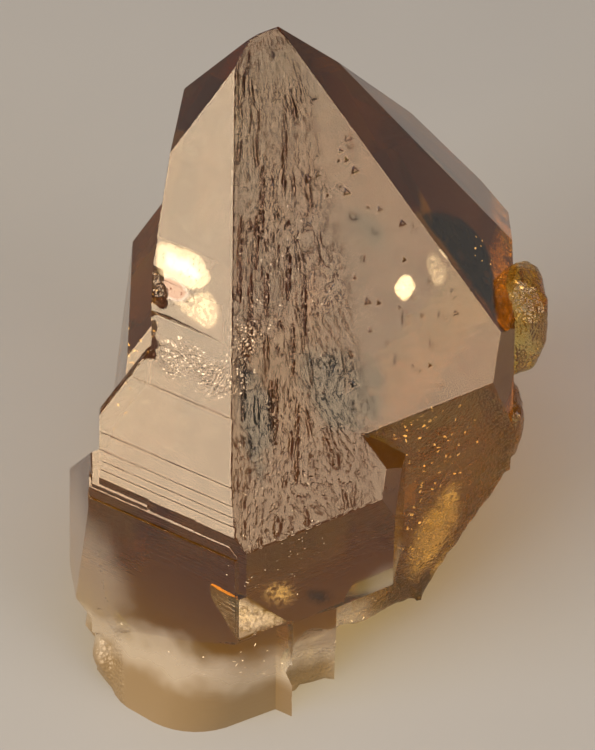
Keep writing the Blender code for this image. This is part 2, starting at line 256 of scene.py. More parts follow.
def outlinePolygons():
    # the solid in mm from its tip, merged into its real faces; each with a kind and a grid spacing
    bm = bmesh.new()
    bm.from_mesh(crystalNode.data)
    for v in bm.verts:
        v.co = (v.co - crystalTip) / mm
    bmesh.ops.remove_doubles(bm, verts=bm.verts[:], dist=skin["weld"])
    # the right face runs on over the front step, so both are laid in one plane, through the tip
    rightNormal = faceNormal("rightFace")
    for v in bm.verts:
        height = v.co.dot(rightNormal)
        if abs(height) < skin["seam"]:
            v.co -= rightNormal * height
    bmesh.ops.dissolve_degenerate(bm, dist=skin["sliver"], edges=bm.edges[:])
    bmesh.ops.dissolve_limit(
        bm, angle_limit=math.radians(skin["levelWithin"]), verts=bm.verts[:], edges=bm.edges[:]
    )
    bm.faces.index_update()
    kindOf, gridOf = [], []
    for f in bm.faces:
        kind, grid = "break", skin["breakGrid"]
        if f.normal.z < -0.999:
            kind, grid = "base", skin["baseGrid"]
        elif f.calc_area() > skin["flatArea"]:
            kind, grid = "flat", skin["restGrid"]
        for name, (azimuth, slope, fine) in reliefFaces.items():
            if f.normal.angle(facing(azimuth, slope)) < math.radians(skin["faceWithin"]):
                kind, grid = name, fine
        # slivers left along the seam have a direction of their own, but belong to the right face
        if all(abs(v.co.dot(rightNormal)) < skin["seam"] for v in f.verts):
            kind, grid = "rightFace", reliefFaces["rightFace"][2]
        kindOf.append(kind)
        gridOf.append(grid)
    for e in bm.edges[:]:
        pieces = max(1, round(e.calc_length() / min(gridOf[f.index] for f in e.link_faces)))
        start = e.verts[0]
        for k in range(pieces - 1):
            start = bmesh.utils.edge_split(e, start, 1 / (pieces - k))[1]
    bm.verts.index_update()
    return bm, kindOf, gridOf


def gridInside(outline, spacing):
    # points of a level and upright grid, in staggered rows, that lie clear of the outline
    low, high = outline.min(axis=0), outline.max(axis=0)
    rows = np.arange(math.floor(low[1] / spacing), math.ceil(high[1] / spacing) + 1)
    columns = np.arange(math.floor(low[0] / spacing), math.ceil(high[0] / spacing) + 1)
    x, y = np.meshgrid(columns * spacing, rows * spacing)
    x = x + (rows[:, None] % 2) * spacing / 2
    points = np.column_stack((x.ravel(), y.ravel()))
    clear = np.full(len(points), 1e9)
    inside = np.zeros(len(points), bool)
    for start, end in zip(outline, np.roll(outline, -1, axis=0)):
        run = end - start
        along = np.clip((points - start) @ run / max(run @ run, 1e-12), 0, 1)
        away = points - start - along[:, None] * run
        clear = np.minimum(clear, (away ** 2).sum(axis=1))
        if start[1] != end[1]:
            beside = (points[:, 1] - start[1]) / run[1]
            inside ^= (beside > 0) & (beside <= 1) & (points[:, 0] < start[0] + beside * run[0])
    return points[inside & (clear > (spacing * skin["clearOfEdge"]) ** 2)]


def fillOutline(outline, inner):
    # triangles over an outline and the points in it: places, the given points at each, triangles
    points = [Vector(p) for p in np.vstack((outline, inner))]
    filled = delaunay_2d_cdt(points, [], [list(range(len(outline)))], 1, 1e-6, True)
    triangles = [triangle for triangle, owners in zip(filled[2], filled[5]) if owners]
    return filled[0], filled[3], triangles


def fineMesh():
    # every outline polygon filled with a fine grid, which gives the relief its points
    bm, kindOf, gridOf = outlinePolygons()
    points = [v.co.copy() for v in bm.verts]
    triangles, sources = [], []
    for f, kind, grid in zip(bm.faces, kindOf, gridOf):
        level, climb = faceAxes(f.normal)
        corners = [v.index for v in f.verts]
        outline = np.array([(points[i].dot(level), points[i].dot(climb)) for i in corners])
        inner = gridInside(outline, grid) if f.calc_area() > grid * grid else np.empty((0, 2))
        places, given, filling = fillOutline(outline, inner)
        height = f.normal.dot(points[corners[0]])
        numbers = []
        for co, ids in zip(places, given):
            known = [i for i in ids if i < len(corners)]
            if known:
                numbers.append(corners[known[0]])
            else:
                numbers.append(len(points))
                points.append(level * co.x + climb * co.y + f.normal * height)
        for triangle in filling:
            triangles.append([numbers[i] for i in triangle])
            sources.append(f.index)
    mesh = bpy.data.meshes.new("crystalSkin")
    mesh.from_pydata([tuple(p) for p in points], [], triangles)
    markMesh(mesh, bm, kindOf, sources)
    bm.free()
    return mesh


def markMesh(mesh, bm, kindOf, sources):
    # keeps the crystal's edges sharp and stores which points lie inside each kind of face
    bm.faces.ensure_lookup_table()
    normals = [f.normal.copy() for f in bm.faces]
    facesOf = {}
    for polygon, source in zip(mesh.polygons, sources):
        for key in polygon.edge_keys:
            facesOf.setdefault(key, []).append(source)
    sharp = np.zeros(len(mesh.edges), bool)
    for number, edge in enumerate(mesh.edges):
        one, other = facesOf[edge.key]
        if one != other and not kindOf[one] == kindOf[other] == "break":
            sharp[number] = normals[one].angle(normals[other]) > math.radians(skin["edgeAngle"])
    mesh.attributes.new("sharp_edge", "BOOLEAN", "EDGE").data.foreach_set("value", sharp)
    corners = np.empty(len(mesh.loops), int)
    mesh.loops.foreach_get("vertex_index", corners)
    corners = corners.reshape(-1, 3)
    kinds = np.array([kindOf[source] for source in sources])
    for kind in ("break", "base", *reliefFaces):
        amount = np.ones(len(mesh.vertices))
        amount[corners[kinds != kind].ravel()] = 0
        mesh.attributes.new(kind, "FLOAT", "POINT").data.foreach_set("value", amount)


# Citrine: clear quartz, so a smooth face gives a clean mirror at 5% and shows the inside, while the
# colour comes from faint iron all through the stone and deepens with thickness, from honey to brown
citrine = {
    "ior": 1.544,
    "absorbed": (0.037, 0.058, 0.180),  # red, green and blue lost per mm, as an exponent
    "satinRoughness": 0.20,             # etched front faces
    "clearRoughness": 0.07,             # the other crystal faces
    "breakRoughness": 0.16,
    "milkRoughness": 0.42,
    "milkColour": "#7B6A50",            # cloudy quartz of the foot
    "milkShare": 0.72,                  # of it that is solid rather than clear
    "stainColour": "#6E3200",           # iron stain in the breaks
    "stainShare": 0.8,
    "cloudGrain": 0.22,                 # to the mm, of the pattern that makes rims and gloss uneven
    "streakGrain": (5.5, 1.1, 1.0),     # finest furrows to the mm, across and along the fan
    "streakDepth": 0.050,               # mm
    "lineGrain": (0.12, 0.07, 4.2),     # finest level lines to the mm, along X, Y and Z
    "lineDepth": 0.030,
    "chipGrain": 3.2,                   # finest chips of the breaks to the mm
    "chipDepth": 0.10,
    "scaleGrain": 3.6,                  # the same in the rough band
    "scaleDepth": 0.055,
}

# where the stone differs: soft balls in mm from the tip, each with its centre, half sizes and
# amount; full inside fullAt of the half sizes, with a rim that wanders by ragged of them
patches = {
    "milk": {
        "balls": [((-6, -22, -53), (19, 19, 9.5), 1.0),
                  ((-16, -20, -42), (6, 9, 9), 0.16),
                  ((8, -20, -41), (4, 4, 4.4), 0.22)],
        "fullAt": 0.45, "ragged": 0.5,
    },
    "stain": {
        "balls": [((-8.4, -13.6, -16.2), (1.8, 1.6, 1.0), 0.9),
                  ((-17.6, -15, -49), (1.6, 5, 4.2), 0.8)],
        "fullAt": 0.7, "ragged": 0.9,
    },
    # the finely chipped band across the front faces
    "roughBand": {
        "balls": [((-7.5, -17.2, -20), (3.4, 2.6, 1.5), 1.0),
                  ((-3.4, -19, -20.2), (3.4, 2.6, 1.4), 1.0),
                  ((-2.0, -17.3, -17.6), (1.8, 2.4, 2.6), 0.8),
                  ((-7.6, -14.0, -16.6), (3.0, 2.0, 1.0), 0.6)],
        "fullAt": 0.6, "ragged": 0.7,
    },
}


def citrineGlass():
    material = bpy.data.materials.new("citrineGlass")
    material.use_nodes = True
    tree = material.node_tree
    shader = tree.nodes["Principled BSDF"]
    add = partial(addNode, tree)
    calc = partial(add, "ShaderNodeMath")

    place = add("ShaderNodeTexCoord").outputs["Object"]
    fromTip = add("ShaderNodeVectorMath", place, tuple(crystalTip), operation="SUBTRACT")
    fromTip = add("ShaderNodeVectorMath", fromTip, 1 / mm, operation="SCALE")
    cloud = add("ShaderNodeTexNoise", fromTip, citrine["cloudGrain"], 2.0, 0.55)
    uneven = add("ShaderNodeMapRange", cloud, 0.35, 0.65, 0.8, 1.25)
    centred = calc(cloud, 0.5, operation="SUBTRACT")

    def patchAmount(name):
        # how much of a patch's kind is at a place; where its balls meet, the strongest one counts
        patch = patches[name]
        wander = calc(centred, patch["ragged"], operation="MULTIPLY")
        most = None
        for centre, size, amount in patch["balls"]:
            away = add("ShaderNodeVectorMath", fromTip, centre, operation="SUBTRACT")
            away = add("ShaderNodeVectorMath", away, size, operation="DIVIDE")
            away = add("ShaderNodeVectorMath", away, operation="LENGTH").outputs["Value"]
            away = calc(away, wander, operation="ADD")
            here = add("ShaderNodeMapRange", away, 1.05, patch["fullAt"], 0.0, amount, **smooth)
            most = here if most is None else calc(most, here, operation="MAXIMUM")
        return most

    milk, stain, band = (patchAmount(name) for name in patches)
    on = {name: add("ShaderNodeAttribute", attribute_name=name).outputs["Fac"]
          for name in ("rightFace", "leftFace", "break", "etched", "lined")}

    # satin where the front faces are etched, rougher on breaks and in the milk
    satin = calc(on["rightFace"], on["leftFace"], operation="MAXIMUM")
    rough = add("ShaderNodeMapRange", satin, 0.0, 1.0,
                citrine["clearRoughness"], citrine["satinRoughness"])
    broken = calc(on["break"], citrine["breakRoughness"], operation="MULTIPLY")
    rough = calc(rough, broken, operation="MAXIMUM")
    rough = calc(rough, uneven, operation="MULTIPLY")
    milky = calc(milk, citrine["milkRoughness"], operation="MULTIPLY")
    rough = calc(rough, milky, operation="MAXIMUM")

    # milk and stain are the only solid colours; the rest is clear
    body = add("ShaderNodeMix", milk, (1, 1, 1, 1), (*linear(citrine["milkColour"]), 1),
               data_type="RGBA")
    body = add("ShaderNodeMix", stain, body, (*linear(citrine["stainColour"]), 1), data_type="RGBA")
    solid = calc(milk, citrine["milkShare"], operation="MULTIPLY")
    stained = calc(stain, citrine["stainShare"], operation="MULTIPLY")
    solid = calc(solid, stained, operation="MAXIMUM")
    clearShare = calc(1.0, solid, operation="SUBTRACT")

    # the finest etching, too small for the skin's triangles
    fan = add("ShaderNodeAttribute", attribute_name="furrowPlace").outputs["Vector"]
    fan = add("ShaderNodeVectorMath", fan, citrine["streakGrain"], operation="MULTIPLY")
    streaks = add("ShaderNodeTexNoise", fan, 1.0, 2.0, 0.65)
    streaks = add("ShaderNodeMapRange", streaks, 0.39, 0.47)
    level = add("ShaderNodeVectorMath", fromTip, citrine["lineGrain"], operation="MULTIPLY")
    lines = add("ShaderNodeTexNoise", level, 1.0, 2.0, 0.65)
    chips = add("ShaderNodeTexVoronoi", fromTip, citrine["chipGrain"], 0.0).outputs["Distance"]
    scales = add("ShaderNodeTexVoronoi", fromTip, citrine["scaleGrain"], 0.0).outputs["Distance"]
    fine = 0.0
    for pattern, where, depth in (
            (streaks, on["etched"], citrine["streakDepth"]),
            (lines, on["lined"], citrine["lineDepth"]),
            (chips, on["break"], citrine["chipDepth"]),
            (scales, band, citrine["scaleDepth"])):
        here = calc(pattern, where, operation="MULTIPLY")
        fine = calc(here, depth, fine, operation="MULTIPLY_ADD")
    bump = add("ShaderNodeBump", 1.0, mm, None, fine)

    for node, name in ((rough, "Roughness"), (body, "Base Color"),
                       (clearShare, "Transmission Weight"), (bump, "Normal")):
        tree.links.new(firstOutput(node), shader.inputs[name])
    shader.inputs["IOR"].default_value = citrine["ior"]

    # the colour of the stone's body; a ray of shadow goes straight through, so light gets inside
    most = max(citrine["absorbed"])
    inside = add("ShaderNodeVolumeAbsorption")
    inside.inputs["Color"].default_value = (*(1 - a / most for a in citrine["absorbed"]), 1)
    inside.inputs["Density"].default_value = most / mm
    clear = add("ShaderNodeBsdfTransparent")
    shadow = add("ShaderNodeLightPath").outputs["Is Shadow Ray"]
    surface = add("ShaderNodeMixShader", shadow, shader.outputs[0], clear)
    output = tree.nodes["Material Output"]
    tree.links.new(surface.outputs[0], output.inputs["Surface"])
    tree.links.new(inside.outputs[0], output.inputs["Volume"])
    return material


glass = citrineGlass()


# The relief of the faces, in mm: what growth and etching left on them
relief = {
    "seed": 4.0,
    "edgeFade": 0.45,        # the relief grows from nothing at a sharp edge to full over this
    "fanShift": 3.0,         # the furrows fan out from a line this far left of the front edge,
    "fanStart": 22.0,        # from a point this far above the tip,
    "fanWidth": 34.0,        # and are at their real width this far below that point
    "streakDepth": 0.10,     # etched furrows of the right face
    "streakWidth": 0.36,
    "streakLength": 3.6,
    "grooveWidth": 1.1,      # the longer ones among them
    "grooveLength": 11.0,
    "dropHeight": 0.06,      # drop-shaped hillocks between them
    "dropWidth": 0.85,
    "coarseWidth": 8.5,      # from the front edge, at the fan's real width
    "triangleDepth": 0.06,   # triangular growth marks on the smoother right part
    "triangleSpacing": 1.7,
    "terraceDepth": 0.10,    # steps low on the left face
    "terraceTop": -33.0,     # height where they begin, from the tip
    "wallLineDepth": 0.05,   # level lines on the upright faces
    "breakSoftening": 5,     # rounds of smoothing on broken surfaces
    "breakLumps": 0.60,      # height of the lumps left on them
    "breakRipples": 0.20,
    "waviness": 0.012,       # of every crystal face
}


def reliefTree():
    tree, given = startTree("crystalRelief", relief)
    add = partial(addNode, tree)
    calc = partial(add, "ShaderNodeMath")

    def stretched(x, y, perX, perY, lift):
        # a flat pattern's place: x and y in mm over the pattern's size along each; lift tells
        # one pattern from the next
        return add("ShaderNodeCombineXYZ",
                   calc(x, perX, operation="DIVIDE"),
                   calc(y, perY, operation="DIVIDE"),
                   calc(given["seed"], lift, operation="ADD"))

    place = add("GeometryNodeInputPosition")
    on = {name: add("GeometryNodeInputNamedAttribute", name, data_type="FLOAT")
          for name in ("break", "base", "rightFace", "leftFace")}
    softened = add("GeometryNodeBlurAttribute", place, given["breakSoftening"], on["break"],
                   data_type="FLOAT_VECTOR")
    rounded = add("GeometryNodeSetPosition", given["Geometry"], True, softened)

    smoothEdge = add("GeometryNodeInputEdgeSmooth")
    isSharp = add("FunctionNodeBooleanMath", smoothEdge, operation="NOT")
    edges = add("GeometryNodeSeparateGeometry", rounded, isSharp, domain="EDGE")
    nearEdge = add("GeometryNodeProximity", edges, target_element="EDGES").outputs["Distance"]
    fade = add("ShaderNodeMapRange", nearEdge, 0.02, given["edgeFade"], **smooth)

    # how far each point lies along the faces' own directions
    rightNormal, leftNormal = faceNormal("rightFace"), faceNormal("leftFace")
    frontEdge = rightNormal.cross(leftNormal).normalized()
    frontEdge = -frontEdge if frontEdge.z > 0 else frontEdge
    sideways = frontEdge.cross(rightNormal)
    sideways = -sideways if sideways.x < 0 else sideways
    down, across, rightX, rightY, leftX, leftY, around, height = (
        add("ShaderNodeVectorMath", place, tuple(direction), operation="DOT_PRODUCT").outputs["Value"]
        for direction in (frontEdge, sideways, *faceAxes(rightNormal), *faceAxes(leftNormal),
                          (1, 0.6, 0), (0, 0, 1)))

    # right face: furrows and drops that fan out downwards from beside the front edge
    across = calc(across, given["fanShift"], operation="ADD")
    reach = calc(down, given["fanStart"], operation="ADD")
    narrower = calc(given["fanWidth"], reach, operation="DIVIDE")
    fan = calc(across, narrower, operation="MULTIPLY")
    wander = add("ShaderNodeTexNoise", stretched(fan, down, 3.0, 14.0, 3.0), 1.0)
    wander = calc(wander, 3.0, -1.5, operation="MULTIPLY_ADD")
    fan = calc(fan, wander, operation="ADD")
    coarseEnd = calc(given["coarseWidth"], 0.6, operation="MULTIPLY")
    coarse = add("ShaderNodeMapRange", fan, given["coarseWidth"], coarseEnd, **smooth)
    streak = add("ShaderNodeTexNoise", stretched(
        fan, down, given["streakWidth"], given["streakLength"], 0.0), 1.0, 3.0, 0.6)
    groove = add("ShaderNodeTexNoise", stretched(
        fan, down, given["grooveWidth"], given["grooveLength"], 12.0), 1.0, 3.0, 0.6)
    groove = calc(groove, 0.03, operation="ADD")
    streak = calc(streak, groove, operation="MINIMUM")
    streak = add("ShaderNodeMapRange", streak, 0.45, 0.36, **smooth)
    streak = calc(streak, given["streakDepth"], operation="MULTIPLY")
    dropLength = calc(given["dropWidth"], 1.9, operation="MULTIPLY")
    drop = add("ShaderNodeTexVoronoi", stretched(fan, down, given["dropWidth"], dropLength, 0.0),
               1.0, 0.0).outputs["Distance"]
    drop = add("ShaderNodeMapRange", drop, 0.42, 0.12, **smooth)
    drop = calc(drop, given["dropHeight"], operation="MULTIPLY")
    few = add("ShaderNodeTexNoise", stretched(fan, down, 4.0, 5.0, 9.0), 1.0)
    few = add("ShaderNodeMapRange", few, 0.42, 0.6, **smooth)
    drop = calc(drop, few, operation="MULTIPLY")
    furrows = calc(drop, streak, operation="SUBTRACT")
    furrows = calc(furrows, coarse, operation="MULTIPLY")

    # right face, the smoother part: triangular marks, all turned as the crystal's own triangles are
    cells = stretched(rightX, rightY, given["triangleSpacing"], given["triangleSpacing"], 0.0)
    cell = add("ShaderNodeTexVoronoi", cells, 1.0, 0.0)
    offset = add("ShaderNodeVectorMath", cells, cell.outputs["Position"], operation="SUBTRACT")
    reach = None
    for angle in (160, 280, 40):
        outward = (math.cos(math.radians(angle)), math.sin(math.radians(angle)), 0)
        one = add("ShaderNodeVectorMath", offset, outward, operation="DOT_PRODUCT").outputs["Value"]
        reach = one if reach is None else calc(reach, one, operation="MAXIMUM")
    chance = add("ShaderNodeSeparateXYZ", cell.outputs["Color"]).outputs[0]
    size = add("ShaderNodeMapRange", chance, 0.25, 1.0, 0.0, 0.2, **smooth)
    marks = calc(reach, size, operation="SUBTRACT")
    marks = add("ShaderNodeMapRange", marks, 0.02, -0.09, **smooth)
    marks = calc(marks, given["triangleDepth"], operation="MULTIPLY")
    finer = calc(1.0, coarse, operation="SUBTRACT")
    marks = calc(marks, finer, operation="MULTIPLY")
    lines = add("ShaderNodeTexNoise", stretched(rightX, rightY, 9.0, 0.6, 5.0), 1.0, 0.0)
    lines = calc(lines, 0.04, -0.02, operation="MULTIPLY_ADD")
    right = calc(furrows, marks, operation="SUBTRACT")
    right = calc(right, lines, operation="ADD")

    # left face: fine lines, and low down a few ledges, each a short step down
    ledgeFoot = calc(given["terraceTop"], 6.0, operation="SUBTRACT")
    low = add("ShaderNodeMapRange", height, given["terraceTop"], ledgeFoot, **smooth)
    ledges = add("ShaderNodeTexNoise", stretched(leftX, leftY, 16.0, 1.1, 7.0), 1.0, 3.0, 0.6)
    ledges = add("ShaderNodeMapRange", ledges, 0.5, 0.38, **smooth)
    ledges = calc(ledges, low, operation="MULTIPLY")
    ledges = calc(ledges, given["terraceDepth"], operation="MULTIPLY")
    lines = add("ShaderNodeTexNoise", stretched(leftX, leftY, 12.0, 0.6, 8.0), 1.0, 0.0)
    lines = calc(lines, 0.03, -0.015, operation="MULTIPLY_ADD")
    left = calc(lines, ledges, operation="SUBTRACT")

    # upright faces: level lines
    normal = add("GeometryNodeInputNormal")
    steep = add("ShaderNodeSeparateXYZ", normal).outputs[2]
    steep = calc(steep, operation="ABSOLUTE")
    upright = add("ShaderNodeMapRange", steep, 0.25, 0.05, **smooth)
    unflat = calc(on["break"], on["base"], operation="MAXIMUM")
    flat = calc(1.0, unflat, operation="SUBTRACT")
    upright = calc(upright, flat, operation="MULTIPLY")
    lines = add("ShaderNodeTexNoise", stretched(around, height, 18.0, 0.9, 2.0), 1.0, 3.0, 0.6)
    lines = calc(lines, 0.5, operation="SUBTRACT")
    wall = calc(lines, given["wallLineDepth"], operation="MULTIPLY")

    # even patterns: the lumps of a break, the ripples of a shell-like one, and a slight waviness
    total = 0.0
    for grain, detail, roughness, amount, where in (
            (2.6, 2.0, 0.5, given["breakLumps"], on["break"]),
            (0.8, 2.0, 0.55, given["breakRipples"], on["break"]),
            (5.0, 2.0, 0.5, given["waviness"], flat)):
        spread = add("ShaderNodeVectorMath", place, 1 / grain, operation="SCALE")
        wave = add("ShaderNodeTexNoise", spread, 1.0, detail, roughness)
        wave = calc(wave, 0.5, operation="SUBTRACT")
        wave = calc(wave, amount, operation="MULTIPLY")
        total = calc(wave, where, total, operation="MULTIPLY_ADD")
    for part, where in ((right, on["rightFace"]), (left, on["leftFace"]), (wall, upright)):
        total = calc(part, where, total, operation="MULTIPLY_ADD")

    total = calc(total, fade, operation="MULTIPLY")
    push = add("ShaderNodeVectorMath", normal, total, operation="SCALE")
    shaped = add("GeometryNodeSetPosition", rounded, True, None, push)

    # what the material needs to know: where the fan is, and where furrows and level lines are
    etched = calc(coarse, on["rightFace"], operation="MULTIPLY")
    lined = calc(on["leftFace"], low, operation="MULTIPLY")
    lined = calc(lined, 0.6, operation="MULTIPLY")
    lined = calc(upright, lined, operation="MAXIMUM")
    for name, value, kind in (("etched", etched, "FLOAT"), ("lined", lined, "FLOAT"),
                              ("furrowPlace", stretched(fan, down, 1.0, 1.0, 0.0), "FLOAT_VECTOR")):
        shaped = add("GeometryNodeStoreNamedAttribute", shaped, True, name, value,
                     data_type=kind, domain="POINT")
    finishTree(tree, shaped, glass)
    return tree


def runTree(piece, tree, values):
    # the piece as the tree makes it, a plain mesh with no modifier left on it
    modifier = piece.modifiers.new("nodes", "NODES")
    modifier.node_group = tree
    for item in tree.interface.items_tree:
        if item.name in values and item.in_out == "INPUT":
            modifier[item.identifier] = values[item.name]
    graph = bpy.context.evaluated_depsgraph_get()
    made = bpy.data.meshes.new_from_object(piece.evaluated_get(graph))
    piece.modifiers.clear()
    piece.data = made


def makeCrystal():
    piece = bpy.data.objects.new("citrineCrystal", fineMesh())
    bpy.context.scene.collection.objects.link(piece)
    runTree(piece, reliefTree(), relief)
    piece.data.transform(Matrix.Translation(crystalTip) @ Matrix.Scale(mm, 4))
    piece.data.shade_smooth()
    return piece


citrineCrystal = makeCrystal()
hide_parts("crystal")
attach(citrineCrystal, "root")
print("crystal made:", len(citrineCrystal.data.polygons), "triangles")

# the planes that the films are seen through: azimuth and slope in degrees, and distance in mm from
# the tip, outwards
filmPlanes = {
    "rightFace": (30, rhombSlope, 0.0),
    "rightBrownFace": (90, rhombSlope, 0.25),
    "upperHollow": (-41, 41.5, 0.85),
    "lowerHollow": (-38, 35.0, 3.11),
    "frontFacet": (30, rhombSlope, -7.2),
    "frontWall": (30, 0, 24.15),
    "goldenFlank": (31, 0, 19.5),
}

# Inside the stone: cracks, healed cracks and dark films, each a thin lens just under a face,
# whose colours are painted shade, reflections, highlights and glow
# outline: pixels of the photograph; depth: mm below the face; wave: mm that it dips below that
films = {
    # painted black reflection: a near-black sheet where a crack mirrors black
    "darkLens": {
        "outline": [(420, 213), (436, 208), (458, 214), (478, 232), (492, 258), (497, 288),
                    (497, 322), (486, 306), (466, 280), (446, 250), (430, 230)],
        "face": "rightBrownFace", "depth": 0.7, "wave": 0.25, "look": "blackReflectionFilm",
    },
    "upperShade": {
        "outline": [(346, 208), (362, 203), (378, 212), (390, 222), (392, 240), (382, 256),
                    (366, 252), (352, 238), (342, 222)],
        "face": "rightFace", "depth": 1.2, "wave": 0.2, "look": "paintedShadeFilm",
    },
    "lowerShade": {
        "outline": [(292, 352), (318, 340), (350, 346), (378, 356), (392, 372), (391, 398), (386, 424),
                    (366, 436), (340, 440), (318, 428), (302, 400), (290, 376)],
        "face": "rightFace", "depth": 1.5, "wave": 0.3, "look": "paintedShadeFilm",
    },
    "coarseShade": {
        "outline": [(232, 352), (252, 360), (274, 384), (282, 420), (276, 458), (262, 492), (246, 470),
                    (234, 430)],
        "face": "rightFace", "depth": 1.0, "wave": 0.3, "look": "paintedShadeFilm",
    },
    # painted shade: a near-black sheet under the brown face
    "brownFaceShade": {
        "outline": [(392, 112), (420, 134), (452, 160), (480, 190), (500, 214), (488, 214), (462, 190),
                    (430, 160), (402, 134)],
        "face": "rightBrownFace", "depth": 1.0, "wave": 0.3, "look": "paintedShadeFilm",
    },
    # painted highlight: a white spot where a small crack mirrors a lamp
    "brightCrack": {
        "outline": [(404, 273), (412, 276), (417, 286), (412, 296), (405, 303), (396, 296), (393, 288),
                    (397, 280)],
        "face": "rightFace", "depth": 0.25, "wave": 0.05, "look": "brightCrack",
    },
    "paleCrack": {
        "outline": [(430, 250), (442, 256), (449, 270), (446, 284), (438, 290), (430, 280), (425, 264)],
        "face": "rightFace", "depth": 0.3, "wave": 0.3, "look": "paleCrack",
    },
    "edgeCrack": {
        "outline": [(434, 242), (444, 250), (452, 262), (448, 262), (438, 252)],
        "face": "rightFace", "depth": 0.15, "wave": 0.1, "look": "whiteCrack",
    },
    "cornerCrack": {
        "outline": [(468, 290), (480, 302), (492, 318), (486, 318), (474, 304)],
        "face": "rightFace", "depth": 0.15, "wave": 0.1, "look": "paleCrack",
    },
    # painted highlight: the flake's white middle stands for a lamp mirrored in the broken surface
    "upperFlake": {
        "outline": [(157, 242), (176, 243), (194, 250), (203, 257), (209, 268), (212, 279), (204, 288),
                    (190, 291), (172, 282), (156, 272)],
        "face": "upperHollow", "depth": 0.15, "wave": 0.08, "look": "whiteCrack",
    },
    "lowerFlake": {
        "outline": [(172, 303), (184, 298), (200, 288), (212, 292), (221, 310), (217, 326), (205, 331),
                    (188, 320)],
        "face": "lowerHollow", "depth": 0.15, "wave": 0.1, "look": "paleCrack",
    },
    "frontVeil": {
        "outline": [(258, 600), (262, 584), (280, 576), (296, 580), (302, 594), (292, 608), (270, 610)],
        "face": "frontWall", "depth": 0.8, "wave": 0.2, "look": "goldGlowVeil",
    },
    "frontShade": {
        "outline": [(303, 590), (318, 586), (336, 590), (334, 604), (316, 608), (304, 602)],
        "face": "frontWall", "depth": 0.8, "wave": 0.2, "look": "paintedShadeFilm",
    },
    "facetCrack": {
        "outline": [(216, 592), (240, 598), (266, 608), (294, 619), (262, 630), (241, 633), (226, 614)],
        "face": "frontFacet", "depth": 0.2, "wave": 0.2, "look": "paleCrack",
    },
    # painted glow: a pale golden sheet where light shines through the broken flank
    "goldenGlowVeil": {
        "outline": [(399, 548), (424, 502), (446, 476), (464, 478), (462, 512), (446, 544), (424, 572),
                    (404, 584)],
        "face": "goldenFlank", "depth": 1.0, "wave": 0.4, "look": "goldGlowVeil",
    },
}

# each look: colour near the rim, colour inside, roughness, share of it that hides what is behind,
# grain of its pattern in mm, and width of its soft rim in mm
filmLooks = {
    # near-black matt sheets, painted shade and a painted black reflection, for cracks that mirror the
    # dark inside of the stone
    "paintedShadeFilm": ("#0D0804", "#0A0602", 1.0, 0.78, 1.6, 1.8),
    "blackReflectionFilm": ("#050301", "#050301", 1.0, 0.95, 1.2, 1.0),
    # real cracks whose pale colours, lightest in the middle, are painted highlights: an open crack,
    # where the air in it throws light back; the same, square to the light; half healed
    "whiteCrack": ("#7A6E5A", "#C4B9A6", 0.30, 1.0, 0.5, 0.25),
    "brightCrack": ("#CFC2A8", "#FFFFFF", 0.20, 1.0, 0.5, 0.25),
    "paleCrack": ("#75664B", "#978869", 0.35, 0.62, 0.35, 0.5),
    # healed cracks deep in the honey-coloured stone, their pale golden colour a painted glow of light
    # passing through it
    "goldGlowVeil": ("#7E6238", "#C8AC74", 0.45, 0.50, 0.45, 1.2),
}
filmShape = {
    "thickness": 0.06,       # mm at the middle
    "rise": 0.8,             # mm from the rim to where it is that thick
    "grid": 0.35,            # mm
    "wavesPerMm": 0.45,
    "ripplesPerMm": 1.4,     # smaller waves on them,
    "rippleShare": 0.4,      # of the waves' height
}


def filmMaterial(name):
    rimColour, colour, roughness, share, grainSize, rimWidth = filmLooks[name]
    material = bpy.data.materials.new(name)
    material.use_nodes = True
    tree = material.node_tree
    shader = tree.nodes["Principled BSDF"]
    shader.inputs["Roughness"].default_value = roughness
    # a dull look has no gloss at all
    shader.inputs["Specular IOR Level"].default_value = 0.0 if roughness > 0.5 else 0.5
    add = partial(addNode, tree)
    calc = partial(add, "ShaderNodeMath")

    # cloudy: the greater the share, the more of the pattern is solid
    place = add("ShaderNodeTexCoord").outputs["Object"]
    cloud = add("ShaderNodeTexNoise", place, 1 / (grainSize * mm), 4.0, 0.62)
    none, full = 0.62 - share * 0.42, 0.72 - share * 0.25
    cover = add("ShaderNodeMapRange", cloud, none, full, 0.0, min(1.0, share + 0.15))
    inward = add("ShaderNodeAttribute", attribute_name="inward").outputs["Fac"]
    rim = add("ShaderNodeMapRange", inward, 0.0, rimWidth, **smooth)
    alpha = calc(cover, rim, operation="MULTIPLY")
    tree.links.new(firstOutput(alpha), shader.inputs["Alpha"])

    # from 1.3 to 2.1 mm inwards the inner colour takes over, sooner where the pattern is high; in the
    # pale cracks that inner colour is the painted highlight
    ahead = calc(cloud, 1.2, inward, operation="MULTIPLY_ADD")
    middle = add("ShaderNodeMapRange", ahead, 1.3, 2.1)
    mixed = add("ShaderNodeMix", middle, (*linear(rimColour), 1), (*linear(colour), 1),
                data_type="RGBA")
    tree.links.new(firstOutput(mixed), shader.inputs["Base Color"])
    return material


def throughFace(pixel, plane, depth):
    # where the photograph's ray through a pixel, bent at a face, is this deep below it; mm from the tip
    azimuth, slope, distance = plane
    normal = facing(azimuth, slope)
    turned = camera.matrix_world.to_3x3()
    width, height = photo["size"]
    across = (pixel[0] - width / 2) * photo["mmPerPixel"] / photo["distance"]
    up = (height / 2 - pixel[1]) * photo["mmPerPixel"] / photo["distance"]
    ray = (turned @ Vector((across, up, -1))).normalized()
    eye = (camera.matrix_world.translation - crystalTip) / mm
    met = eye + ray * (distance - eye.dot(normal)) / ray.dot(normal)
    steep = -ray.dot(normal)
    bent = math.sqrt(1 - (1 - steep ** 2) / citrine["ior"] ** 2)
    inward = ray / citrine["ior"] + normal * (steep / citrine["ior"] - bent)
    return met + inward * depth / bent


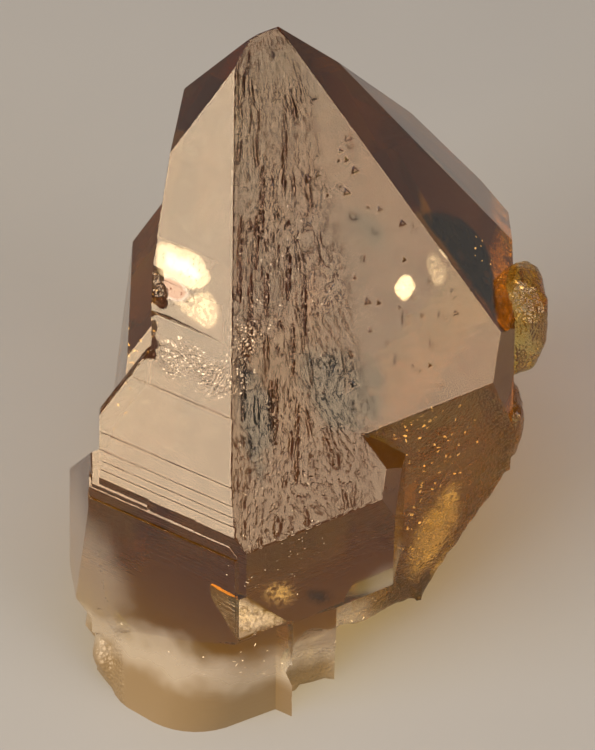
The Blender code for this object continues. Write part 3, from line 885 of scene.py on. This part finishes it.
def smoothOutline(corners):
    # points along the closed smooth curve through the corners, counter-clockwise
    outline = []
    for k in range(len(corners)):
        a, b, c, d = (corners[(k + shift) % len(corners)] for shift in (-1, 0, 1, 2))
        pieces = max(2, round((c - b).length / filmShape["grid"]))
        for step in range(pieces):
            t = step / pieces
            outline.append(0.5 * (2 * b + (c - a) * t + (2 * a - 5 * b + 4 * c - d) * t ** 2
                                  + (3 * b - a - 3 * c + d) * t ** 3))
    outline = np.array(outline)
    ahead = np.roll(outline, -1, axis=0)
    if (outline[:, 0] * ahead[:, 1] - outline[:, 1] * ahead[:, 0]).sum() < 0:
        outline = outline[::-1]
    return outline


def makeFilm(name, spec):
    plane = filmPlanes[spec["face"]]
    azimuth, slope, distance = plane
    normal = facing(azimuth, slope)
    level, climb = faceAxes(normal)
    corners = [throughFace(pixel, plane, spec["depth"]) for pixel in spec["outline"]]
    rim = smoothOutline([Vector((c.dot(level), c.dot(climb))) for c in corners])
    places, given, triangles = fillOutline(rim, gridInside(rim, filmShape["grid"]))
    seed = Vector((distance, azimuth, slope))
    # an upper and a lower side that meet at the rim
    points, inward, upper, lower = [], [], [], []
    for co in places:
        away = min((Vector(p) - co).length for p in rim)
        risen = min(1, away / filmShape["rise"])
        swell = filmShape["thickness"] / 2 * math.sin(risen * math.pi / 2)
        base = level * co.x + climb * co.y + normal * (distance - spec["depth"])
        wave = noise.noise(base * filmShape["wavesPerMm"] + seed)
        wave += filmShape["rippleShare"] * noise.noise(base * filmShape["ripplesPerMm"] - seed)
        base -= normal * abs(wave) * spec["wave"]
        for side, numbers in ((1, upper), (-1, lower)):
            if side == -1 and away < 1e-6:
                numbers.append(upper[-1])
                continue
            numbers.append(len(points))
            points.append(crystalTip + (base + normal * swell * side) * mm)
            inward.append(away)
    faces = []
    for triangle in triangles:
        faces.append([upper[i] for i in triangle])
        faces.append([lower[i] for i in reversed(triangle)])
    mesh = bpy.data.meshes.new(name)
    mesh.from_pydata(points, [], faces)
    mesh.attributes.new("inward", "FLOAT", "POINT").data.foreach_set("value", inward)
    mesh.materials.append(filmMaterials[spec["look"]])
    mesh.shade_smooth()
    film = bpy.data.objects.new(name, mesh)
    bpy.context.scene.collection.objects.link(film)
    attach(film, "root")


filmMaterials = {name: filmMaterial(name) for name in filmLooks}
for filmName, spec in films.items():
    makeFilm(filmName, spec)
print("films inside the stone:", len(films))

# Sparkles: tiny flat cracks just under the surface, whose pale colours are painted glints, thickest
# where the stone broke; centres and half sizes in mm from the tip, number per mm2, flake radius and
# depth in mm
sparkles = {
    "goldenBreakSparkles": {
        "places": [((9.5, -18, -32), (9, 9, 12))], "brokenOnly": True,
        "density": 1.5, "radius": 0.24, "depth": 0.3, "seed": 3, "look": "goldSpark",
    },
    "leftEdgeSparkles": {
        "places": [((-11.5, -13, -19.5), (3, 4, 5)), ((-12.5, -12, -26), (2.5, 6, 7))],
        "density": 1.2, "radius": 0.22, "depth": 0.3, "seed": 5, "look": "goldSpark",
    },
    "knobSparkles": {
        "places": [((19, -4.5, -21), (3.5, 4, 5))],
        "density": 0.5, "radius": 0.24, "depth": 0.4, "seed": 6, "look": "goldSpark",
    },
    "bandSparkles": {
        "places": [((-7.5, -17.2, -20), (3.2, 2.2, 1.7)), ((-3.8, -19, -20.4), (3, 2.5, 1.6)),
                   ((-2.2, -17.5, -18.0), (1.6, 2.2, 2.4))],
        "density": 9.0, "radius": 0.12, "depth": 0.06, "seed": 7, "look": "whiteSpark",
    },
    "etchSparkles": {
        "places": [((1, -14, -15), (4, 12, 14)), ((0.5, -26, -31), (4.5, 7, 8))],
        "density": 1.2, "radius": 0.10, "depth": 0.05, "seed": 8, "look": "whiteSpark",
    },
    "footSparkles": {
        "places": [((-3, -24, -46), (6, 5, 3)), ((4, -18, -49), (6, 6, 4))],
        "density": 1.2, "radius": 0.2, "depth": 0.12, "seed": 9, "look": "whiteSpark",
    },
}
# painted glints: the flakes' pale colours stand for the light they catch
sparkLooks = {
    "goldSpark": "#F2C878",     # seen through the honey colour of the stone
    "whiteSpark": "#FFF6E6",
}
flake = {
    "smallest": (0.25, 0.12, 0.04),    # length, width and thickness, as shares of the radius
    "largest": (1.0, 0.45, 0.08),
    "tilt": 0.6,                       # radians from the surface, at most, to either side
    "roughness": 0.22,
    # painted shade: flakes take this colour by a noise pattern, not by which way they face
    "paintedShadeColour": (0.1, 0.06, 0.02),   # linear, of a flake turned from the light
    "darkest": 0.45,                   # no flake is nearer to the dark colour than this
    "patch": 1.2,                      # mm, over which flakes are about as light as each other
}


def sparkMaterial(name):
    # an open crack a hair wide, glossy, whose pale colour is a painted glint; each flake a little
    # lighter or darker by a noise pattern, painted light and shade
    material = bpy.data.materials.new(name)
    material.use_nodes = True
    tree = material.node_tree
    shader = tree.nodes["Principled BSDF"]
    add = partial(addNode, tree)
    place = add("ShaderNodeTexCoord").outputs["Object"]
    change = add("ShaderNodeTexNoise", place, 1 / (flake["patch"] * mm))
    tone = add("ShaderNodeMapRange", change, 0.35, 0.65, flake["darkest"], 1.0)
    mixed = add("ShaderNodeMix", tone, (*flake["paintedShadeColour"], 1), (*linear(sparkLooks[name]), 1),
                data_type="RGBA")
    tree.links.new(firstOutput(mixed), shader.inputs["Base Color"])
    shader.inputs["Roughness"].default_value = flake["roughness"]
    return material


def sparkleTree(name, spec):
    tree, given = startTree(name, {key: spec[key] for key in ("density", "radius", "depth", "seed")})
    add = partial(addNode, tree)
    calc = partial(add, "ShaderNodeMath")
    place = add("GeometryNodeInputPosition")
    nearest = None
    for centre, size in spec["places"]:
        middle = crystalTip + Vector(centre) * mm
        away = add("ShaderNodeVectorMath", place, tuple(middle), operation="SUBTRACT")
        away = add("ShaderNodeVectorMath", away, tuple(Vector(size) * mm), operation="DIVIDE")
        away = add("ShaderNodeVectorMath", away, operation="LENGTH").outputs["Value"]
        nearest = away if nearest is None else calc(nearest, away, operation="MINIMUM")
    inside = add("ShaderNodeMapRange", nearest, 1.0, 0.55)
    if spec.get("brokenOnly"):
        broken = add("GeometryNodeInputNamedAttribute", "break", data_type="FLOAT")
        inside = calc(inside, broken, operation="MULTIPLY")
    perArea = calc(given["density"], 1 / mm ** 2, operation="MULTIPLY")
    density = calc(perArea, inside, operation="MULTIPLY")
    scattered = add("GeometryNodeDistributePointsOnFaces", given["Geometry"], True, density,
                    given["seed"])
    under = calc(given["depth"], -mm, operation="MULTIPLY")
    shift = add("ShaderNodeVectorMath", scattered.outputs["Normal"], under, operation="SCALE")
    points = add("GeometryNodeSetPosition", scattered, True, None, shift)
    ball = add("GeometryNodeMeshIcoSphere", 1.0, 1)
    tilt = add("FunctionNodeRandomValue", (-flake["tilt"], -flake["tilt"], 0.0),
               (flake["tilt"], flake["tilt"], 6.28), None, given["seed"], data_type="FLOAT_VECTOR")
    turned = add("FunctionNodeRotateRotation", scattered.outputs["Rotation"], tilt,
                 rotation_space="LOCAL")
    stretch = add("FunctionNodeRandomValue", flake["smallest"], flake["largest"], None,
                  given["seed"], data_type="FLOAT_VECTOR")
    reach = calc(given["radius"], mm, operation="MULTIPLY")
    size = add("ShaderNodeVectorMath", stretch, reach, operation="SCALE")
    flakes = add("GeometryNodeInstanceOnPoints", points, True, ball, False, 0, turned, size)
    finishTree(tree, flakes, sparkMaterials[spec["look"]])
    return tree


sparkMaterials = {name: sparkMaterial(name) for name in sparkLooks}
for sparkleName, spec in sparkles.items():
    group = bpy.data.objects.new(sparkleName, citrineCrystal.data.copy())
    bpy.context.scene.collection.objects.link(group)
    runTree(group, sparkleTree(sparkleName, spec), spec)
    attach(group, "root")
    print(sparkleName, len(group.data.polygons), "faces")
